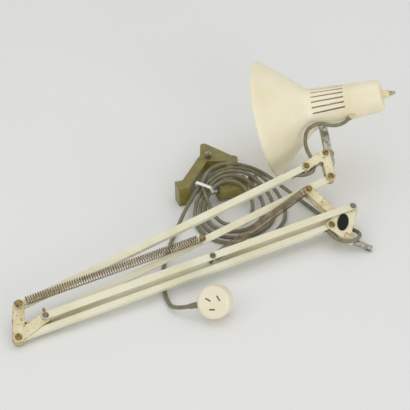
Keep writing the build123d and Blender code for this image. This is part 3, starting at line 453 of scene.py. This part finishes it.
def as_mesh(curve_piece):
    """Mesh piece in a curve's place, and the line that the curve follows."""
    data, name = curve_piece.data, curve_piece.name
    section = data.bevel_depth
    data.bevel_depth = 0
    line = [v.co.copy() for v in curve_piece.to_mesh().vertices]
    curve_piece.to_mesh_clear()
    data.bevel_depth = section
    mesh = bpy.data.meshes.new_from_object(curve_piece)
    bpy.data.objects.remove(curve_piece)
    mesh.shade_smooth()
    piece = bpy.data.objects.new(name, mesh)
    scene.collection.objects.link(piece)
    return piece, line


def wound_spring(name, start, end, coil_radius_mm, wire_mm, turns, reach_mm, hook_radius_mm):
    """Wound wire from post to post: half a loop round each post, then the coil."""
    points_per_coil = 12
    bend_from, bend_to, bend_step = -10, 190, 20
    start, end = Vector(start), Vector(end)
    axis = (end - start).normalized()
    side = axis.cross(plane_out).normalized()
    up = side.cross(axis)
    coil, hook = coil_radius_mm / 1000, hook_radius_mm / 1000
    first_reach, last_reach = (r / 1000 for r in reach_mm)
    bends = [math.radians(a) for a in range(bend_from, bend_to + 1, bend_step)]
    first = [start - axis * (hook * math.sin(a)) - side * (hook * math.cos(a)) for a in bends]
    last = [end + axis * (hook * math.sin(a)) + side * (hook * math.cos(a)) for a in bends]
    length = (end - start).length - first_reach - last_reach
    count = turns * points_per_coil
    winding = []
    for i in range(count + 1):
        a = 2 * math.pi * i / points_per_coil
        middle = start + axis * (first_reach + length * i / count)
        winding.append(middle + side * (coil * math.cos(a)) + up * (coil * math.sin(a)))
    wire = tube_curve(name, first + winding + last, wire_mm / 2000, spring_wire)
    wire.data.bevel_resolution = 2
    wire.data.splines[0].resolution_u = 2
    return as_mesh(wire)[0], axis


elbow_post = on_arms((15.64, 39.30, 9.35))
link_post = on_arms((261.57, 41.06, 9.35))
upper_coil, upper_axis = wound_spring(
    "upper_coil",
    elbow_post,
    link_post,
    coil_radius_mm=5.3,
    wire_mm=1.3,
    turns=73,
    reach_mm=(9, 5.5),
    hook_radius_mm=4.4,
)
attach(upper_coil, "upper_spring")
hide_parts("upper_spring")
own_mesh(upper_coil)

base_post = on_arms((427.2, 58.4, 7.75))
strip_post = on_arms((263.29, 13.37, -0.6))
lower_coil, lower_axis = wound_spring(
    "lower_coil",
    base_post,
    strip_post,
    coil_radius_mm=5.4,
    wire_mm=1.1,
    turns=62,
    reach_mm=(9, 6),
    hook_radius_mm=3.6,
)
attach(lower_coil, "lower_spring")
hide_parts("lower_spring")
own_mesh(lower_coil)

# Shade: spun aluminium sheet sprayed cream outside, with vents punched in its neck, and a collar
# of the same paint for the switch. The cream is the warmest on the lamp and has hardly chipped.
shade_enamel = enamel(
    "shade_enamel",
    fresh="#EEE6CB",
    aged="#E5DBB9",
    bare="#B9A778",
    patch_mm=70,
    chip_mm=5,
    chip_level=0.78,
    gloss=0.4,
    edge_mm=0.4,
)
finish_nodes(shade_enamel, "shade")
collar_enamel = enamel(
    "collar_enamel",
    fresh="#E6D9B3",
    aged="#D8C99E",
    bare="#8A7A52",
    patch_mm=10,
    chip_mm=4,
    chip_level=0.74,
    gloss=0.45,
    edge_mm=0.4,
)
finish_nodes(collar_enamel, "switch_collar")

# Lampholder and bulb: a brown phenolic holder in the shade's neck, moulded, with a faint cloud in
# it, and a pearl glass bulb, frosted inside, which looks milky.
cloud_mm = 6
phenolic, tree = blank("phenolic")
where = add(tree, "ShaderNodeTexCoord").outputs["Object"]
cloud = add(tree, "ShaderNodeTexNoise", {"Scale": 1000 / cloud_mm, "Detail": 4.0}, Vector=where)
tint = add(
    tree,
    "ShaderNodeMix",
    {"data_type": "RGBA", colour_a: srgb("#2B211A"), colour_b: srgb("#3A2C22")},
    Factor=cloud.outputs["Fac"],
)
skin = add(
    tree, "ShaderNodeBump", {"Strength": 0.1, "Distance": 0.0003}, Height=cloud.outputs["Fac"]
)
resin = add(
    tree,
    "ShaderNodeBsdfPrincipled",
    {"IOR": 1.6, "Roughness": 0.4},
    Base_Color=tint.outputs[mixed],
    Normal=skin.outputs[0],
)
add(tree, "ShaderNodeOutputMaterial", Surface=resin.outputs[0])
finish_nodes(phenolic, "lampholder")
frost_mm = 3
pearl_glass, tree = blank("pearl_glass")
where = add(tree, "ShaderNodeTexCoord").outputs["Object"]
frost = add(tree, "ShaderNodeTexNoise", {"Scale": 1000 / frost_mm, "Detail": 3.0}, Vector=where)
dull = add(
    tree, "ShaderNodeMapRange", {"To Min": 0.25, "To Max": 0.4}, Value=frost.outputs["Fac"]
)
glass = add(
    tree,
    "ShaderNodeBsdfPrincipled",
    {"Base Color": srgb("#F4F3EE"), "IOR": 1.5, "Transmission Weight": 0.35},
    Roughness=dull.outputs[0],
)
add(tree, "ShaderNodeOutputMaterial", Surface=glass.outputs[0])
finish_nodes(pearl_glass, "bulb_glass")

# Cord on the arms: short stretches of round three-core flex, from tube to bracket and into the
# shade. Its extruded PVC sheath is olive-grey, dusty and a little shiny where rubbed.
cord_diameter = 0.0052
dust_mm = 12
cord_sheath, tree = blank("cord_sheath")
where = add(tree, "ShaderNodeTexCoord").outputs["Object"]
dust = add(
    tree,
    "ShaderNodeTexNoise",
    {"Scale": 1000 / dust_mm, "Detail": 5.0, "Roughness": 0.6},
    Vector=where,
)
spread = add(
    tree, "ShaderNodeMapRange", {"From Min": 0.35, "From Max": 0.65}, Value=dust.outputs["Fac"]
)
tint = add(
    tree,
    "ShaderNodeMix",
    {"data_type": "RGBA", colour_a: srgb("#6C6951"), colour_b: srgb("#85816A")},
    Factor=spread.outputs[0],
)
dull = add(
    tree, "ShaderNodeMapRange", {"To Min": 0.42, "To Max": 0.62}, Value=dust.outputs["Fac"]
)
skin = add(
    tree, "ShaderNodeBump", {"Strength": 0.15, "Distance": 0.0003}, Height=dust.outputs["Fac"]
)
sheath = add(
    tree,
    "ShaderNodeBsdfPrincipled",
    {"IOR": 1.5},
    Base_Color=tint.outputs[mixed],
    Roughness=dull.outputs[0],
    Normal=skin.outputs[0],
)
add(tree, "ShaderNodeOutputMaterial", Surface=sheath.outputs[0])


def held_cord(name, route_mm, replaced, bodies, swing_mm=None):
    """Short stretch of the flex between two parts of the lamp, on the arm plane."""
    places = [on_arms(p) for p in route_mm]
    piece, line = as_mesh(tube_curve(name, places, cord_diameter / 2, cord_sheath))
    if swing_mm:
        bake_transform(piece)
    else:
        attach(piece, bodies[0])
    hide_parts(replaced)


arm_route = [
    (423.0, 87.5, 0.0),
    (429.5, 84.8, 0.0),
    (438.0, 82.6, 0.0),
    (447.6, 83.2, 0.0),
    (454.6, 89.2, 0.0),
    (457.2, 98.0, 0.0),
    (457.4, 107.0, 0.0),
]
held_cord(
    "arm_flex",
    arm_route,
    "arm_cord",
    bodies=("upper_tube", "head"),
    swing_mm=((438, 83, 0), (455, 92, 0)),
)
head_route = [
    (457.4, 107.2, 0.0),
    (457.6, 116.2, 0.0),
    (459.4, 125.5, 2.0),
    (463.6, 135.0, 5.0),
    (469.6, 142.0, 8.0),
    (477.6, 143.9, 10.6),
    (488.2, 143.5, 13.5),
    (496.5, 137.3, 13.5),
]
held_cord(
    "head_flex",
    head_route,
    "head_cord",
    bodies=("head", "stem"),
    swing_mm=((457.5, 108, 0), (488, 143, 13)),
)
shade_route = [(496.5, 137.3, 13.5), (511.4, 126.0, 13.5), (527.9, 132.9, 19.0)]
held_cord(
    "shade_flex",
    shade_route,
    "shade_cord",
    bodies=("stem", "shade"),
    swing_mm=((498, 136, 13), (527, 132, 18)),
)
elbow_route = [
    (13.4, 32.2, 0.0),
    (7.6, 29.6, 0.0),
    (3.4, 23.8, 0.0),
    (1.8, 14.6, 0.0),
    (2.6, 4.5, 0.0),
]
held_cord("elbow_flex", elbow_route, "elbow_cord", bodies=("elbow",))

# Mains flex: the same flex, from a slot under the lower arm, round the spigot's root and along the
# table, through a bundle of loose loops held by one tie over the clamp, and on to the plug.
# Its first points are on the arm plane, the others on the table, all in millimetres.
lead_on_base = [
    (423.7, -4.05, 0.0),
    (424.6, -13.0, 1.2),
    (427.0, -22.5, 5.0),
    (432.4, -30.5, 8.6),
    (441.0, -34.0, 10.2),
    (450.5, -32.4, 8.2),
    (458.6, -27.0, 3.6),
    (462.0, -19.3, -2.6),
    (459.6, -10.6, -8.4),
    (454.2, -1.5, -11.6),
]
lead_on_table = [
    (160.0, -84.0, 7.2),
    (156.0, -62.0, 3.6),
    (153.0, -38.0, 2.8),
    (147.0, -13.0, 5.4),
    (134.1, 16.7, 15.6),
]
tail_route = [
    (12.3, 42.3, 17.8),
    (-9.0, 24.0, 11.5),
    (-27.0, 6.0, 6.0),
    (-46.0, -14.0, 3.2),
    (-62.5, -35.0, 2.8),
    (-76.5, -55.0, 2.8),
    (-88.0, -76.0, 2.8),
    (-97.0, -98.0, 2.8),
    (-103.5, -121.0, 2.9),
    (-106.7, -145.5, 7.7),
    (-90.1, -156.5, 13.7),
]

# The bundle's loops all pass through the tie, each wider than the last, side by side in lanes.
# They drape over a heap, which is the clamp, and the lead crosses over them.
tie_place = Vector((33.5, 43.9))
tie_angle = math.radians(29.7)
tie_along = Vector((math.cos(tie_angle), math.sin(tie_angle)))
tie_across = Vector((tie_along.y, -tie_along.x))
loops = 4
first_loop = 29.4
loop_step = 10.5
loop_stretch = 1.07
lead_loop = 69.1
lead_turn = 0.25
strand_spacing = 5.9
edge_lane = strand_spacing * (loops + 1) / 2
cross_start, cross_end = -0.091, 0.145
lift_start, lift_end = -0.2, 0.325
lift_height = 7.5
lying_height = 2.6
heap_middle = Vector((76.6, 52.0))
heap_angle = math.radians(-8.7)
heap_along = Vector((math.cos(heap_angle), math.sin(heap_angle)))
heap_across = Vector((-heap_along.y, heap_along.x))
heap_length, heap_breadth, heap_height = 75.9, 43.7, 34.9
points_per_turn = 24


def eased(low, high, value):
    """Smooth step from 0 to 1."""
    share = min(1.0, max(0.0, (value - low) / (high - low)))
    return share * share * (3 - 2 * share)


def bundle_place(turns):
    """Middle of the flex after a number of turns: below 0 the lead, then loops that grow."""
    size = lead_loop if turns < 0 else first_loop + loop_step * min(loops - 1, int(turns))
    angle = -2 * math.pi * turns
    crossing = eased(cross_start, cross_end, turns)
    lane = -edge_lane + (2 * edge_lane - strand_spacing * max(0.0, turns)) * crossing
    place = tie_place + tie_across * (size * (1 - math.cos(angle)) + lane)
    place += tie_along * (size * loop_stretch * math.sin(angle))
    lift = eased(lift_start, cross_start, turns) * (1 - eased(cross_end, lift_end, turns))
    away = place - heap_middle
    fall = (away.dot(heap_along) / heap_length) ** 2 + (away.dot(heap_across) / heap_breadth) ** 2
    return (place.x, place.y, lying_height + heap_height * math.exp(-fall) + lift_height * lift)


bundle_count = int((loops + lead_turn) * points_per_turn)
bundle_route = [bundle_place(i / points_per_turn - lead_turn) for i in range(bundle_count + 1)]
flex_places = [on_arms(p) for p in lead_on_base]
flex_places += [Vector(p) / 1000 for p in lead_on_table + bundle_route + tail_route]
mains_flex = tube_curve("mains_flex", flex_places, cord_diameter / 2, cord_sheath)
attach(mains_flex, "base")
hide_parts("mains_lead", "cord_bundle", "cord_tail")


# Tie, plug and grommet: a white nylon band round the bundle, a plug moulded in white PVC that has
# creamed with age, with brass blades and a sleeve like the flex, and a cream rubber grommet where
# the flex goes into the shade.
def moulded(name, clean, creamed, patch_mm, gloss):
    """Moulded plastic or rubber, unevenly yellowed, with the mould's fine grain.

    The grain is about 0.1 mm, and is drawn coarser so that it shows.
    """
    grain_mm = 0.9
    material, tree = blank(name)
    where = add(tree, "ShaderNodeTexCoord").outputs["Object"]
    age = add(tree, "ShaderNodeTexNoise", {"Scale": 1000 / patch_mm, "Detail": 4.0}, Vector=where)
    tint = add(
        tree,
        "ShaderNodeMix",
        {"data_type": "RGBA", colour_a: srgb(clean), colour_b: srgb(creamed)},
        Factor=age.outputs["Fac"],
    )
    grain = add(tree, "ShaderNodeTexNoise", {"Scale": 1000 / grain_mm, "Detail": 2.0}, Vector=where)
    skin = add(
        tree,
        "ShaderNodeBump",
        {"Strength": 0.08, "Distance": 0.0002},
        Height=grain.outputs["Fac"],
    )
    rough = add(
        tree,
        "ShaderNodeMapRange",
        {"To Min": gloss, "To Max": gloss + 0.2},
        Value=age.outputs["Fac"],
    )
    plastic = add(
        tree,
        "ShaderNodeBsdfPrincipled",
        {"IOR": 1.5, "Subsurface Weight": 0.05, "Subsurface Radius": (0.002, 0.002, 0.0015)},
        Base_Color=tint.outputs[mixed],
        Roughness=rough.outputs[0],
        Normal=skin.outputs[0],
    )
    add(tree, "ShaderNodeOutputMaterial", Surface=plastic.outputs[0])
    return material


tie_nylon = moulded("tie_nylon", clean="#F2F1EC", creamed="#E4E2D8", patch_mm=8, gloss=0.4)
finish_nodes(tie_nylon, "cord_tie")
plug_plastic = moulded("plug_plastic", clean="#EBE4CE", creamed="#DFD6BA", patch_mm=14, gloss=0.3)
finish_nodes(plug_plastic, "plug_body")
finish_nodes(cord_sheath, "plug_sleeve")
# Stamped brass, polished by its sockets: yellow and still bright.
blade_brass = bare_metal(
    "blade_brass", bright="#CDB478", dull="#9A7F48", patch_mm=5, smooth=0.2, rough=0.4
)
finish_nodes(blade_brass, "plug_blades")
grommet_rubber = moulded(
    "grommet_rubber", clean="#D8CDA9", creamed="#C2B68E", patch_mm=6, gloss=0.5
)
finish_nodes(grommet_rubber, "cord_grommet")

# Clamp: a sand-cast iron frame in glossy olive paint, rubbed through to brown iron on its
# corners, with a loose pad of the same finish on its screw.
olive_paint = enamel(
    "olive_paint",
    fresh="#7B7130",
    aged="#8E8340",
    bare="#6E4A26",
    patch_mm=12,
    chip_mm=6,
    chip_level=0.66,
    gloss=0.35,
    edge_mm=1.2,
)
finish_nodes(olive_paint, "clamp_frame", "clamp_pad")
